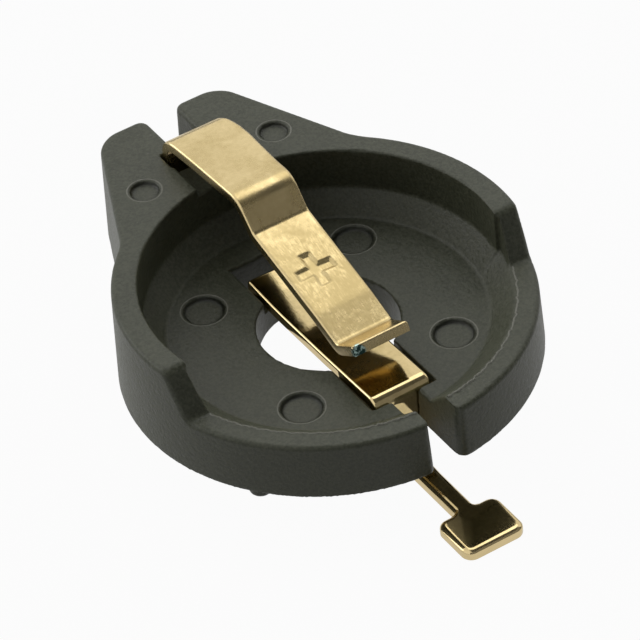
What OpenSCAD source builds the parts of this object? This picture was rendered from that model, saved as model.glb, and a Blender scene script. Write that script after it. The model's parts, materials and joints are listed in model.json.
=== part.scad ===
// Coin cell holder for a 12.5 mm cell: a moulded base with two formed contact strips.
// All sizes are in millimetres. +Z is up from the circuit board, +X points to the negative pad.
// The origin lies on the board, midway between the outer ends of the two solder pads.

/* [Cell pocket] */
// Diameter of the pocket that takes the cell
pocket_d = 12.7; // [12.4:0.1:13]
// Depth from the high rim down to the pocket floor
pocket_depth = 2.45; // [2.2:0.05:2.8]
// How far the sloping ledge round the floor reaches into the pocket
ledge_w = 0.75; // [0.5:0.05:0.9]
// Diameter of the hole in the middle of the floor
hole_d = 5; // [4:0.1:6]

/* [Moulded base] */
// Thickness of the pocket floor
floor_t = 1.35; // [1.2:0.05:1.6]
// Thickness of the ring wall at the rim
wall_t = 0.9; // [0.8:0.05:1.1]
// How far the front part of the wall is lower than the rest
rim_step = 1.65; // [1.4:0.05:1.8]
// Where the wall starts to ramp down, from the pocket axis
ramp_x = 1.3; // [0.5:0.1:2]
// Length of the ramp along X
ramp_run = 0.95; // [0.6:0.05:1.4]
// Radius on the outer top edges
edge_r = 0.2; // [0.15:0.05:0.3]
// Draft angle of the outer walls
draft = 2.4; // [1:0.1:3]
// Width of the slot through the front wall, at its foot
front_slot_w = 0.94; // [0.9:0.02:1.2]
// Radius on the slot's two outer edges
mouth_r = 0.4; // [0.3:0.02:0.5]

/* [Rear wings] */
// Distance from the pocket axis to the rear end of the wings
wing_reach = 10.9; // [10.6:0.05:11.3]
// Half width of the pair of wings, measured at their rear end
wing_half_w = 2.5; // [2.4:0.05:2.8]
// Slope of the wings' outer sides
wing_angle = 23; // [20:0.5:24]
// Width of the gap between the wings at the rim
wing_gap = 1.24; // [1.2:0.02:1.4]

/* [Standing height] */
// Gap between the board and the underside of the base
standoff = 1.8; // [1.6:0.05:2]
// Diameter of the four feet
foot_d = 0.85; // [0.6:0.05:1]

/* [Contacts] */
// Thickness of the contact sheet
sheet_t = 0.38; // [0.3:0.01:0.4]
// Width of both strips
strip_w = 2.25; // [2.1:0.05:2.35]
// Width of the openings that the legs stand in
leg_slot_w = 2.5; // [2.4:0.05:2.6]
// Width of the necks that join the legs to the solder pads
neck_w = 0.76; // [0.6:0.02:0.8]
// Height of the positive strip above the rim at the rear bend
arch_rise = 0.95; // [0.8:0.05:1.1]
// Height of the negative blade above the pocket floor
blade_rise = 0.17; // [0.1:0.01:0.3]

/* [Solder pads] */
// Length of each solder pad along X
pad_l = 1.95; // [1.6:0.05:2.2]
// Width of each solder pad
pad_w = 2.4; // [2:0.1:2.6]
// Distance from the pocket axis to the outer end of the front pad
front_reach = 10.05; // [9.8:0.05:10.6]
// Distance from the pocket axis to the outer end of the rear pad
rear_reach = 13.45; // [13.3:0.05:14]

/* [Hidden] */
$fn = 96;
eps = 0.02;

// Derived heights above the board
floor_z = standoff + floor_t;
rim_z = floor_z + pocket_depth;
low_rim_z = rim_z - rim_step;

// Derived radii and places, measured from the pocket axis
pocket_r = pocket_d / 2;
rim_r = pocket_r + wall_t;
foot_r = rim_r + (rim_z - standoff) * tan(draft);
ledge_r = pocket_r - ledge_w;
pocket_x = (rear_reach - front_reach) / 2;

// The leg openings: a window in the floor and a slot behind the rear wall
window_rear_x = -4.45;
window_front_x = 4.76;
slot_rear_x = -8.72;
slot_front_x = -7.87;
front_relief = 0.13;
slot_draft = 2.6;
channel_depth = 0.3;
channel_w = 2.35;

// Marks that the ejector pins leave, in the floor and on the wings
pin_mark_depth = 0.14;
floor_mark = [3.17, 3.09, 1.48];
wing_mark = [-7.37, 2.67, 1.08];

// Feet under the ring, and the small round on their ends
foot_place = [2.75, 4.77];
foot_round = 0.15;

// Barbs on the legs, which grip the sides of the openings
barb_z = standoff + 0.5;
barb_h = 0.45;
shoulder_z = standoff - 0.45;
pad_corner_r = 0.25;
neck_fillet_r = 0.2;

// Points of an arc about c, from angle a0 to a1, in n steps
function arc(c, r, a0, a1, n) = [for (k = [0:n]) c + r * unit(a0 + (a1 - a0) * k / n)];
function unit(a) = [cos(a), sin(a)];
function turned(v, a) = [v.x * cos(a) - v.y * sin(a), v.x * sin(a) + v.y * cos(a)];
function left_of(v) = [-v.y, v.x];
function heading(a, b) = (b - a) / norm(b - a);
function turn(u, v) = atan2(u.x * v.y - u.y * v.x, u * v);

// One face of a bent sheet, a distance s to the left of the path p.
// r holds the bend radius of the path at each inner point.
function sheet_face(p, r, s) = [
    p[0] + s * left_of(heading(p[0], p[1])),
    for (i = [1:len(p) - 2])
        let (u = heading(p[i - 1], p[i]), v = heading(p[i], p[i + 1]))
        let (a = turn(u, v), g = sign(a))
        let (c = p[i] - u * r[i - 1] * tan(abs(a) / 2) + g * r[i - 1] * left_of(u))
        let (steps = max(3, ceil(abs(a) / 12)))
        for (k = [0:steps]) c - g * (r[i - 1] - g * s) * turned(left_of(u), a * k / steps),
    p[len(p) - 1] + s * left_of(heading(p[len(p) - 2], p[len(p) - 1]))
];

// Side view of a sheet that lies on the right of the path p
function sheet_outline(p, r) = let (back = sheet_face(p, r, -sheet_t))
    concat(sheet_face(p, r, 0), [for (i = [len(back) - 1:-1:0]) back[i]]);

// Side view of the positive contact's upper face: pad, leg, arch, drop, arm and lip
positive_path = [
    [-rear_reach, sheet_t],
    [slot_rear_x, sheet_t],
    [slot_rear_x, rim_z + arch_rise - 0.08],
    [-3.55, rim_z + arch_rise + 0.31],
    [-2.66, rim_z + 0.28],
    [1.15, rim_z - 0.79],
    [2.45, rim_z - 1.24],
    [3.45, rim_z - 0.62]
];
positive_bends = [0.15, 0.85, 0.95, 0.35, 4, 0.3];

// The same for the negative contact, seen from the other side: pad, leg and blade
negative_path = [
    [-front_reach, sheet_t],
    [-window_front_x, sheet_t],
    [-window_front_x, floor_z + blade_rise],
    [-1.5, floor_z + blade_rise - 0.14],
    [1.6, floor_z + blade_rise - 0.21],
    [3.53, floor_z + blade_rise - 0.11]
];
negative_bends = [0.15, 0.48, 20, 20];

// A drafted post with a rounded top edge, of radius r at the rim, cut off at height top_z
module post(r, top_z, n, fn) {
    full_r = r + (rim_z - top_z) * tan(draft);
    rotate_extrude($fn = fn)
        polygon(concat(
            [[0, standoff], [r + (rim_z - standoff) * tan(draft), standoff]],
            arc([full_r - edge_r, top_z - edge_r], edge_r, 0, 90, n),
            [[0, top_z]]
        ));
}

// The space behind the ramp, where the wall keeps its full height
module behind_ramp() {
    side = 2 * foot_r;
    rotate([90, 0, 0])
        linear_extrude(side, center = true)
            polygon([
                [-side, 0],
                [ramp_x + ramp_run + 0.2, 0],
                [ramp_x + ramp_run + 0.2, low_rim_z - 0.3],
                [ramp_x + ramp_run, low_rim_z],
                [ramp_x, rim_z],
                [-side, rim_z + 1]
            ]);
}

module ring() {
    post(rim_r, low_rim_z, 6, $fn);
    intersection() {
        post(rim_r, rim_z, 6, $fn);
        behind_ramp();
    }
}

// Plan view of the wing on the +Y side, grown outwards by d
function wing_outline(d) = let (tip = -wing_reach - d, root = -5)
    let (gap_y = wing_gap / 2 - d, side_y = wing_half_w + d / cos(wing_angle))
    let (inner_r = 0.36 + d, outer_r = 1.15 + d)
    let (tip_y = side_y - d * tan(wing_angle))
    let (bend = tan((90 - wing_angle) / 2) * outer_r)
    concat(
        [[root, gap_y]],
        arc([tip + inner_r, gap_y + inner_r], inner_r, 270, 180, 4),
        arc([tip + outer_r, tip_y - bend], outer_r, 180, 90 + wing_angle, 6),
        [[root, tip_y + (root - tip) * tan(wing_angle)]]
    );

// A thin slice of a wing whose top face is at height z
module wing_slice(d, z) {
    translate([0, 0, z - eps])
        linear_extrude(eps)
            polygon(wing_outline(d));
}

// The two wings behind the ring, and the block that closes the slot in front
module wings() {
    for (side = [0, 1])
        mirror([0, side, 0])
            hull() {
                wing_slice((rim_z - standoff) * tan(draft), standoff + eps);
                for (a = [0, 30, 60, 90])
                    wing_slice(-edge_r * (1 - cos(a)), rim_z - edge_r * (1 - sin(a)));
            }
    translate([slot_front_x, -leg_slot_w / 2, standoff])
        cube([3, leg_slot_w, rim_z - standoff]);
}

module foot(x, y) {
    translate([x, y, 0])
        rotate_extrude($fn = 48)
            polygon(concat(
                [[0, standoff + 0.5], [0, 0]],
                arc([foot_d / 2 - foot_round, foot_round], foot_round, -90, 0, 4),
                [[foot_d / 2, standoff + 0.5]]
            ));
}

// A round pocket of radius r with a sloping ledge at its foot
module pocket_space(r) {
    rotate_extrude($fn = 128)
        polygon([
            [0, floor_z],
            [ledge_r, floor_z],
            [r, low_rim_z],
            [r, rim_z + 1],
            [0, rim_z + 1]
        ]);
}

// What the cell drops into, a little wider where the wall is low
module cell_space() {
    pocket_space(pocket_r);
    intersection() {
        pocket_space(pocket_r + front_relief);
        translate([ramp_x, -pocket_d, 0])
            cube([pocket_d, 2 * pocket_d, rim_z + 2]);
    }
}

// A straight cut through the front wall, which widens upwards and has a rounded mouth
module front_slot() {
    foot = front_slot_w / 2;
    rise = rim_z - standoff;
    mouth_x = sqrt(pow(foot_r - mouth_r, 2) - pow(foot + mouth_r, 2)) + eps;
    translate([window_front_x - eps, 0, standoff])
        rotate([90, 0, 90])
            linear_extrude(foot_r)
                polygon([
                    [-foot + tan(slot_draft), -1],
                    [foot - tan(slot_draft), -1],
                    [foot + rise * tan(slot_draft), rise],
                    [-foot - rise * tan(slot_draft), rise]
                ]);
    for (side = [0, 1])
        mirror([0, side, 0])
            translate([mouth_x, foot, standoff])
                rotate([-slot_draft, 0, 0])
                    difference() {
                        translate([0, 0, -1])
                            cube([2 * mouth_r, mouth_r, rise + 1]);
                        translate([0, mouth_r, -2])
                            cylinder(r = mouth_r, h = rise + 3, $fn = 64);
                    }
}

module pin_mark(place, surface_z) {
    for (s = [-1, 1])
        translate([place.x, s * place.y, surface_z - pin_mark_depth])
            cylinder(d = place.z, h = 1, $fn = 64);
}

// A box given by its extent along X and its width about the X axis
module through_box(x0, x1, w, z0 = 0) {
    translate([x0, -w / 2, z0])
        cube([x1 - x0, w, rim_z + 1]);
}

module base() {
    color("#4b4a45")
        translate([pocket_x, 0, 0])
            difference() {
                union() {
                    ring();
                    wings();
                    for (x = [-foot_place.x, foot_place.x], y = [-foot_place.y, foot_place.y])
                        foot(x, y);
                }
                cell_space();
                translate([0, 0, -eps])
                    cylinder(d = hole_d, h = rim_z);
                through_box(window_rear_x, window_front_x, leg_slot_w);
                through_box(slot_rear_x, slot_front_x, leg_slot_w);
                through_box(slot_rear_x, -pocket_r + 0.5, channel_w, rim_z - channel_depth);
                front_slot();
                pin_mark(floor_mark, floor_z);
                pin_mark([-floor_mark.x, floor_mark.y, floor_mark.z], floor_z);
                pin_mark(wing_mark, rim_z);
            }
}

// End view of a leg: a neck at the bottom, then the full width with a barb on each side
module leg_outline(top_z) {
    neck = neck_w / 2;
    full = strip_w / 2;
    side = [
        [neck, shoulder_z - 0.6],
        [neck, shoulder_z],
        [full, shoulder_z + 0.25],
        [full, barb_z],
        [leg_slot_w / 2, barb_z + barb_h - 0.1],
        [leg_slot_w / 2, barb_z + barb_h],
        [full, barb_z + barb_h],
        [full, top_z]
    ];
    polygon(concat(side, [for (i = [len(side) - 1:-1:0]) [-side[i].x, side[i].y]]));
}

// Top view of a solder pad and its neck, with the pad's outer end at -reach
module pad_outline(reach, neck_end) {
    r = pad_corner_r;
    inner = -reach + pad_l;
    translate([-reach, -pad_w / 2 + r])
        square([pad_l, pad_w - 2 * r]);
    translate([-reach + r, -pad_w / 2])
        square([pad_l - 2 * r, pad_w]);
    for (x = [-reach + r, inner - r], y = [-pad_w / 2 + r, pad_w / 2 - r])
        translate([x, y])
            circle(r, $fn = 32);
    translate([inner - r, -neck_w / 2])
        square([neck_end - inner + r, neck_w]);
    for (s = [-1, 1])
        translate([inner, s * neck_w / 2])
            difference() {
                translate([-eps, -neck_fillet_r])
                    square([neck_fillet_r + eps, 2 * neck_fillet_r]);
                translate([neck_fillet_r, s * neck_fillet_r])
                    circle(neck_fillet_r, $fn = 32);
            }
}

// A contact cut from the bent sheet: its leg and strip, then its neck and pad
module contact(path, bends, reach, leg_x) {
    outline = sheet_outline(path, bends);
    top_z = rim_z + 3;
    intersection() {
        rotate([90, 0, 0])
            linear_extrude(leg_slot_w, center = true)
                polygon(outline);
        rotate([90, 0, 90])
            linear_extrude(4 * reach, center = true)
                leg_outline(top_z);
    }
    intersection() {
        rotate([90, 0, 0])
            linear_extrude(pad_w + 1, center = true)
                polygon(outline);
        linear_extrude(shoulder_z - 0.3)
            pad_outline(reach, leg_x + sheet_t + 1);
    }
}

module positive_contact() {
    color("#d8c690")
        translate([pocket_x, 0, 0])
            contact(positive_path, positive_bends, rear_reach, slot_rear_x);
}

module negative_contact() {
    color("#d2bd84")
        translate([pocket_x, 0, 0])
            mirror([1, 0, 0])
                contact(negative_path, negative_bends, front_reach, -window_front_x);
}

base();
positive_contact();
negative_contact();
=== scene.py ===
"""Coin cell holder: the finished look of the moulded base and its two formed contacts.

Sizes in the classes are in millimetres: X from the pocket axis, Y across the strips, Z up from
the circuit board. They become metres of the shared frame when a mesh is made.
"""

import json
import logging
import math
from dataclasses import dataclass, field
from enum import Enum

import bmesh
import bpy
import numpy as np
from mathutils import Matrix, Vector


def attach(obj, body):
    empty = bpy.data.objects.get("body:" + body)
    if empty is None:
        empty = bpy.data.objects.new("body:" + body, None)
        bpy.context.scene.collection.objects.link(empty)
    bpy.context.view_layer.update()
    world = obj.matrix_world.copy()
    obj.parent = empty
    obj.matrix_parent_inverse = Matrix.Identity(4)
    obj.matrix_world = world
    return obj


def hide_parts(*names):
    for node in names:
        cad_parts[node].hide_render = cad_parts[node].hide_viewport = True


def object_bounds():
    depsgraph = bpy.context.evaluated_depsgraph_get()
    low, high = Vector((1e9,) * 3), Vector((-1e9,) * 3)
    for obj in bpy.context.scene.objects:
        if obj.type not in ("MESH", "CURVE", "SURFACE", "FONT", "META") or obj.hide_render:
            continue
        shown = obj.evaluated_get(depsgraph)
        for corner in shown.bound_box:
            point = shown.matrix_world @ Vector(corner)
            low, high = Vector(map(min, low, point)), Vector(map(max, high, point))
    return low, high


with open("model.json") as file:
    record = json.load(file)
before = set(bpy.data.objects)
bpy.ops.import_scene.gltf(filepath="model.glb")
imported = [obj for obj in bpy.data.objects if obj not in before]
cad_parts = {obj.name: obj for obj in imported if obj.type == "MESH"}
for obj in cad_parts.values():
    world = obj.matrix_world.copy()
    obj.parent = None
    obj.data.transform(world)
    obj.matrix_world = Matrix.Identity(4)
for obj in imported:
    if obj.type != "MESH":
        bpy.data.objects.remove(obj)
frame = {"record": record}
CAD_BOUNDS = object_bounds()

MM = 0.001
ROOT = "root"
log = logging.getLogger("coin_cell_holder")


class Slot(Enum):
    """The record's material slots."""

    HOUSING = "housing"
    POSITIVE = "positive_metal"
    NEGATIVE = "negative_metal"


def mount_point(name: str) -> Vector:
    """Gives the place of one of the record's mounts.

    Args:
        name: The mount's name.

    Returns:
        Its position in metres.
    """
    for mount in frame["record"]["mounts"]:
        if mount["name"] == name:
            return Vector(mount["pos_m"])
    raise KeyError(name)


POCKET_X = mount_point("cell_pocket").x / MM


# ---------------------------------------------------------------- meshes


def make_object(name: str, points: np.ndarray, faces: list[tuple[int, ...]]) -> bpy.types.Object:
    """Makes a mesh object from points given from the pocket axis.

    Args:
        name: The object's name.
        points: One row of x, y, z in millimetres for each vertex.
        faces: Vertex indices of each face.

    Returns:
        The new object, linked to the scene, with its mesh in metres of the shared frame.
    """
    mesh = bpy.data.meshes.new(name)
    placed = (np.asarray(points, float) + (POCKET_X, 0.0, 0.0)) * MM
    mesh.from_pydata(placed.tolist(), [], faces)
    made = bpy.data.objects.new(name, mesh)
    bpy.context.scene.collection.objects.link(made)
    return made


def close_and_smooth(piece: bpy.types.Object, sharp_deg: float) -> None:
    """Turns all faces outwards and shades them smooth up to a sharp angle.

    Args:
        piece: The mesh object.
        sharp_deg: Edges that turn by more than this stay sharp, in degrees.
    """
    built = bmesh.new()
    built.from_mesh(piece.data)
    bmesh.ops.recalc_face_normals(built, faces=built.faces)
    built.to_mesh(piece.data)
    built.free()
    piece.data.shade_smooth()
    piece.data.set_sharp_from_angle(angle=math.radians(sharp_deg))
    weighted = piece.modifiers.new("even_normals", "WEIGHTED_NORMAL")
    weighted.keep_sharp = True
    weighted.mode = "FACE_AREA"


def add_values(piece: bpy.types.Object, name: str, values: np.ndarray) -> None:
    """Stores one number for each vertex, for the materials to read.

    Args:
        piece: The mesh object.
        name: The attribute's name.
        values: The numbers, in the vertices' order.
    """
    layer = piece.data.attributes.new(name, "FLOAT", "POINT")
    layer.data.foreach_set("value", np.asarray(values, np.float32))


# ---------------------------------------------------------------- shader nodes


@dataclass
class NodeBench:
    """Adds and joins the nodes of one node tree."""

    tree: bpy.types.NodeTree

    def add(self, kind: str, inputs: dict | None = None, **settings: object) -> bpy.types.Node:
        """Adds a node.

        Args:
            kind: The node's type name.
            inputs: Values or sockets for its inputs, by name or number.
            **settings: Attributes to set on it.

        Returns:
            The node.
        """
        node = self.tree.nodes.new(kind)
        for key, value in settings.items():
            setattr(node, key, value)
        for key, value in (inputs or {}).items():
            if isinstance(value, bpy.types.NodeSocket):
                self.tree.links.new(value, node.inputs[key])
            else:
                node.inputs[key].default_value = value
        return node

    def math(self, operation: str, first: object, second: object = 0.0) -> bpy.types.NodeSocket:
        """Adds a Math node and gives its result."""
        return self.add("ShaderNodeMath", {0: first, 1: second}, operation=operation).outputs[0]

    def span(self, value: object, low: float, high: float, to_low: float, to_high: float
             ) -> bpy.types.NodeSocket:
        """Maps a value from low and high to to_low and to_high, and holds it at those ends."""
        limits = {"Value": value, "From Min": low, "From Max": high, "To Min": to_low, "To Max": to_high}
        return self.add("ShaderNodeMapRange", limits).outputs[0]

    def blend(self, amount: object, first: object, second: object) -> bpy.types.NodeSocket:
        """Mixes two colours.

        Args:
            amount: The second colour's share.
            first: The first colour.
            second: The second colour.

        Returns:
            The mixed colour's socket.
        """
        mixed = self.add("ShaderNodeMix", data_type="RGBA")
        for key, value in ((0, amount), (6, first), (7, second)):
            if isinstance(value, bpy.types.NodeSocket):
                self.tree.links.new(value, mixed.inputs[key])
            else:
                mixed.inputs[key].default_value = value
        return mixed.outputs[2]

    def average(self, first: object, second: object, share: float) -> bpy.types.NodeSocket:
        """Adds two values, of which the first counts for the given share."""
        return self.math("ADD", self.math("MULTIPLY", first, share),
                         self.math("MULTIPLY", second, 1.0 - share))

    def attribute(self, name: str) -> bpy.types.NodeSocket:
        """Reads a number that the mesh holds for each vertex."""
        return self.add("ShaderNodeAttribute", attribute_name=name).outputs["Fac"]

    def place(self) -> bpy.types.NodeSocket:
        """Gives the place on the object, in metres of the shared frame."""
        return self.add("ShaderNodeTexCoord").outputs["Object"]


class SurfaceGroups:
    """The effects that more than one finish uses, each a node group that is built once."""

    def __init__(self) -> None:
        """Builds the groups."""
        self.grain = self._grain()
        self.cloud = self._cloud()
        self.streak = self._streak()
        self.dust = self._dust()

    def _start(self, name: str, inputs: dict[str, float], outputs: list[str]
               ) -> tuple[NodeBench, bpy.types.Node, bpy.types.Node]:
        """Starts a group with a place input, number inputs and number outputs.

        Args:
            name: The group's name.
            inputs: The number inputs and their first values.
            outputs: The number outputs.

        Returns:
            The bench for its nodes, its input node and its output node.
        """
        tree = bpy.data.node_groups.new(name, "ShaderNodeTree")
        tree.interface.new_socket("Place", in_out="INPUT", socket_type="NodeSocketVector")
        for key, value in inputs.items():
            made = tree.interface.new_socket(key, in_out="INPUT", socket_type="NodeSocketFloat")
            made.default_value = value
        for key in outputs:
            tree.interface.new_socket(key, in_out="OUTPUT", socket_type="NodeSocketFloat")
        bench = NodeBench(tree)
        return bench, bench.add("NodeGroupInput"), bench.add("NodeGroupOutput")

    def _grain(self) -> bpy.types.NodeTree:
        """Fine even grain, as a sparked mould or a rolled sheet leaves it.

        Returns:
            The group.
        """
        bench, given, out = self._start("fine_grain", {"Scale": 9000.0, "Pits": 0.3}, ["Height"])
        even = bench.add("ShaderNodeTexNoise", {"Vector": given.outputs["Place"],
                                                "Scale": given.outputs["Scale"], "Detail": 4.0,
                                                "Roughness": 0.6})
        half = bench.math("MULTIPLY", given.outputs["Scale"], 0.45)
        cells = bench.add("ShaderNodeTexVoronoi", {"Vector": given.outputs["Place"], "Scale": half})
        pits = bench.math("MULTIPLY", bench.span(cells.outputs["Distance"], 0.1, 0.5, 0.0, 1.0),
                          given.outputs["Pits"])
        bench.tree.links.new(bench.math("ADD", even.outputs["Fac"], pits), out.inputs["Height"])
        return bench.tree

    def _cloud(self) -> bpy.types.NodeTree:
        """Broad soft patches, from 0 to 1.

        Returns:
            The group.
        """
        bench, given, out = self._start("soft_patches", {"Scale": 500.0, "Contrast": 0.5}, ["Value"])
        patches = bench.add("ShaderNodeTexNoise", {"Vector": given.outputs["Place"],
                                                   "Scale": given.outputs["Scale"], "Detail": 3.0,
                                                   "Roughness": 0.55, "Distortion": 0.4})
        centred = bench.math("SUBTRACT", patches.outputs["Fac"], 0.5)
        spread = bench.math("MULTIPLY", centred, bench.math("MULTIPLY", given.outputs["Contrast"], 4.0))
        limited = bench.add("ShaderNodeClamp", {"Value": bench.math("ADD", spread, 0.5)})
        bench.tree.links.new(limited.outputs[0], out.inputs["Value"])
        return bench.tree

    def _streak(self) -> bpy.types.NodeTree:
        """Fine lines along X, as rolling and polishing leave them.

        Returns:
            The group.
        """
        bench, given, out = self._start("rolled_lines", {"Scale": 9000.0, "Stretch": 0.06}, ["Height"])
        scale = bench.add("ShaderNodeCombineXYZ", {0: given.outputs["Stretch"], 1: 1.0, 2: 0.3})
        pulled = bench.add("ShaderNodeVectorMath", {0: given.outputs["Place"], 1: scale.outputs[0]},
                           operation="MULTIPLY")
        lines = bench.add("ShaderNodeTexNoise", {"Vector": pulled.outputs[0],
                                                 "Scale": given.outputs["Scale"], "Detail": 3.0})
        bench.tree.links.new(lines.outputs["Fac"], out.inputs["Height"])
        return bench.tree

    def _dust(self) -> bpy.types.NodeTree:
        """Sparse small specks, as a mask.

        Returns:
            The group.
        """
        bench, given, out = self._start("dust_specks", {"Scale": 2600.0, "Amount": 0.2}, ["Mask"])
        cells = bench.add("ShaderNodeTexVoronoi", {"Vector": given.outputs["Place"],
                                                   "Scale": given.outputs["Scale"]})
        near = bench.span(cells.outputs["Distance"], 0.05, 0.13, 1.0, 0.0)
        chosen = bench.add("ShaderNodeSeparateColor", {0: cells.outputs["Color"]}).outputs[0]
        few = bench.math("LESS_THAN", chosen, given.outputs["Amount"])
        bench.tree.links.new(bench.math("MULTIPLY", near, few), out.inputs["Mask"])
        return bench.tree

    def use(self, bench: NodeBench, group: bpy.types.NodeTree, place: bpy.types.NodeSocket,
            **values: object) -> bpy.types.NodeSocket:
        """Places a group in a material.

        Args:
            bench: The material's bench.
            group: One of the groups.
            place: The place to read the effect at.
            **values: The group's inputs, by name.

        Returns:
            The group's first output.
        """
        node = bench.add("ShaderNodeGroup", node_tree=group)
        bench.tree.links.new(place, node.inputs["Place"])
        for key, value in values.items():
            if isinstance(value, bpy.types.NodeSocket):
                bench.tree.links.new(value, node.inputs[key])
            else:
                node.inputs[key].default_value = value
        return node.outputs[0]


def new_material(name: str) -> tuple[bpy.types.Material, NodeBench, bpy.types.Node]:
    """Makes a material with one Principled shader.

    Args:
        name: The material's name.

    Returns:
        The material, the bench for its nodes and its shader.
    """
    material = bpy.data.materials.new(name)
    material.use_nodes = True
    bench = NodeBench(material.node_tree)
    shader = material.node_tree.nodes["Principled BSDF"]
    return material, bench, shader


# ---------------------------------------------------------------- finishes


Colour = tuple[float, float, float, float]


@dataclass(frozen=True)
class MouldedPlastic:
    """Black glass-filled plastic with a fine mould grain, a painted shade on the walls of the pin marks
    and a painted highlight on the ridges.
    """

    dark: Colour = (0.030, 0.033, 0.018, 1.0)
    pale: Colour = (0.068, 0.072, 0.048, 1.0)
    # Painted shade: a near-black colour laid on the walls of the pin marks.
    pin_shade: Colour = (0.006, 0.007, 0.004, 1.0)
    pin_shade_share: float = 0.8
    # Painted highlight: a colour paler than the plastic, laid on the flash of the low rim and on the pin
    # mark rims.
    flash_highlight: Colour = (0.13, 0.13, 0.105, 1.0)
    dust: Colour = (0.12, 0.12, 0.10, 1.0)
    dust_share: float = 0.4
    patch_scale: float = 420.0
    mottle_scale: float = 9000.0
    patch_share: float = 0.35
    gloss_low: float = 0.36
    gloss_high: float = 0.52
    grain_depth: float = 0.030

    def material(self, groups: SurfaceGroups) -> bpy.types.Material:
        """Builds the material.

        Args:
            groups: The shared effects.

        Returns:
            The plastic's material.
        """
        material, bench, shader = new_material("moulded_plastic")
        place = bench.place()
        broad = groups.use(bench, groups.cloud, place, Scale=self.patch_scale, Contrast=0.4)
        fine = groups.use(bench, groups.cloud, place, Scale=self.mottle_scale, Contrast=1.1)
        patches = bench.average(broad, fine, self.patch_share)
        specks = groups.use(bench, groups.dust, place, Scale=2300.0, Amount=0.12)
        body = bench.blend(patches, self.dark, self.pale)
        # Painted shade: the pin mark walls are pulled towards the near-black wall colour.
        walls = bench.math("MULTIPLY", bench.attribute("mark"), self.pin_shade_share)
        # Painted highlight: the flash and the mark rims are lightened towards the pale ridge colour.
        shade_and_highlight = bench.blend(bench.attribute("flash_highlight"), bench.blend(walls, body, self.pin_shade), self.flash_highlight)
        colour = bench.blend(bench.math("MULTIPLY", specks, self.dust_share), shade_and_highlight, self.dust)
        bench.tree.links.new(colour, shader.inputs["Base Color"])
        rough = bench.span(patches, 0.0, 1.0, self.gloss_low, self.gloss_high)
        bench.tree.links.new(rough, shader.inputs["Roughness"])
        shader.inputs["Specular IOR Level"].default_value = 0.36
        grain = groups.use(bench, groups.grain, place, Scale=9000.0, Pits=0.35)
        bump = bench.add("ShaderNodeBump", {"Strength": 0.55, "Distance": self.grain_depth * MM,
                                            "Height": grain})
        bench.tree.links.new(bump.outputs[0], shader.inputs["Normal"])
        return material


@dataclass(frozen=True)
class TornSpot:
    """A small torn and tarnished spot on a corner of the sheet."""

    place: tuple[float, float, float]
    reach: tuple[float, float] = (0.22, 0.30)
    dark: Colour = (0.03, 0.07, 0.06, 1.0)
    bright: Colour = (0.62, 0.85, 0.78, 1.0)

    def over(self, bench: NodeBench, groups: SurfaceGroups, place: bpy.types.NodeSocket,
             colour: bpy.types.NodeSocket) -> bpy.types.NodeSocket:
        """Lays the spot over a colour.

        Args:
            bench: The material's bench.
            groups: The shared effects.
            place: The place on the object.
            colour: The colour round the spot.

        Returns:
            The colour with the spot.
        """
        spot = (Vector(self.place) + Vector((POCKET_X, 0.0, 0.0))) * MM
        away = bench.add("ShaderNodeVectorMath", {0: place, 1: spot}, operation="DISTANCE")
        near = bench.span(away.outputs["Value"], self.reach[0] * MM, self.reach[1] * MM, 1.0, 0.0)
        chips = groups.use(bench, groups.grain, place, Scale=7000.0, Pits=0.0)
        bright = bench.math("MULTIPLY", near, bench.span(chips, 0.49, 0.54, 0.0, 1.0))
        return bench.blend(bright, bench.blend(near, colour, self.dark), self.bright)


@dataclass(frozen=True)
class PlatedSheet:
    """Copper alloy sheet with a pale gold plating."""

    name: str
    plating: Colour = (0.74, 0.59, 0.31, 1.0)
    worn: Colour = (0.53, 0.41, 0.19, 1.0)
    edge: Colour = (0.76, 0.61, 0.34, 1.0)
    edge_share: float = 0.6
    patch_scale: float = 700.0
    mottle_scale: float = 5200.0
    patch_share: float = 0.6
    line_scale: float = 26000.0
    rub_wear: float = 0.3
    rub_lines: float = 0.25
    gloss_low: float = 0.17
    gloss_high: float = 0.33
    grain_depth: float = 0.004
    torn: TornSpot | None = None

    def material(self, groups: SurfaceGroups) -> bpy.types.Material:
        """Builds the material.

        Args:
            groups: The shared effects.

        Returns:
            The plated metal's material.
        """
        material, bench, shader = new_material(self.name)
        place = bench.place()
        patches = groups.use(bench, groups.cloud, place, Scale=self.patch_scale, Contrast=1.0)
        fine = groups.use(bench, groups.cloud, place, Scale=self.mottle_scale, Contrast=0.6)
        lines = groups.use(bench, groups.streak, place, Scale=self.line_scale, Stretch=0.12)
        mix = bench.average(patches, fine, self.patch_share)
        rub = bench.attribute("rub")
        brushed = bench.span(lines, 0.35, 0.65, -self.rub_lines, self.rub_lines)
        mix = bench.math("SUBTRACT", mix, bench.math("MULTIPLY", rub, self.rub_wear))
        mix = bench.math("ADD", mix, bench.math("MULTIPLY", rub, brushed))
        sheet = bench.blend(bench.span(mix, 0.0, 1.0, 0.0, 1.0), self.worn, self.plating)
        at_edge = bench.math("MULTIPLY", bench.attribute("edge"), self.edge_share)
        colour = bench.blend(at_edge, sheet, self.edge)
        if self.torn is not None:
            colour = self.torn.over(bench, groups, place, colour)
        bench.tree.links.new(colour, shader.inputs["Base Color"])
        shader.inputs["Metallic"].default_value = 1.0
        rough = bench.span(mix, 0.0, 1.0, self.gloss_high, self.gloss_low)
        bench.tree.links.new(rough, shader.inputs["Roughness"])
        grain = groups.use(bench, groups.grain, place, Scale=9000.0, Pits=0.3)
        height = bench.math("ADD", grain, bench.math("MULTIPLY", lines, 0.8))
        bump = bench.add("ShaderNodeBump", {"Strength": 0.6, "Distance": self.grain_depth * MM,
                                            "Height": height})
        bench.tree.links.new(bump.outputs[0], shader.inputs["Normal"])
        return material


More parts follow.
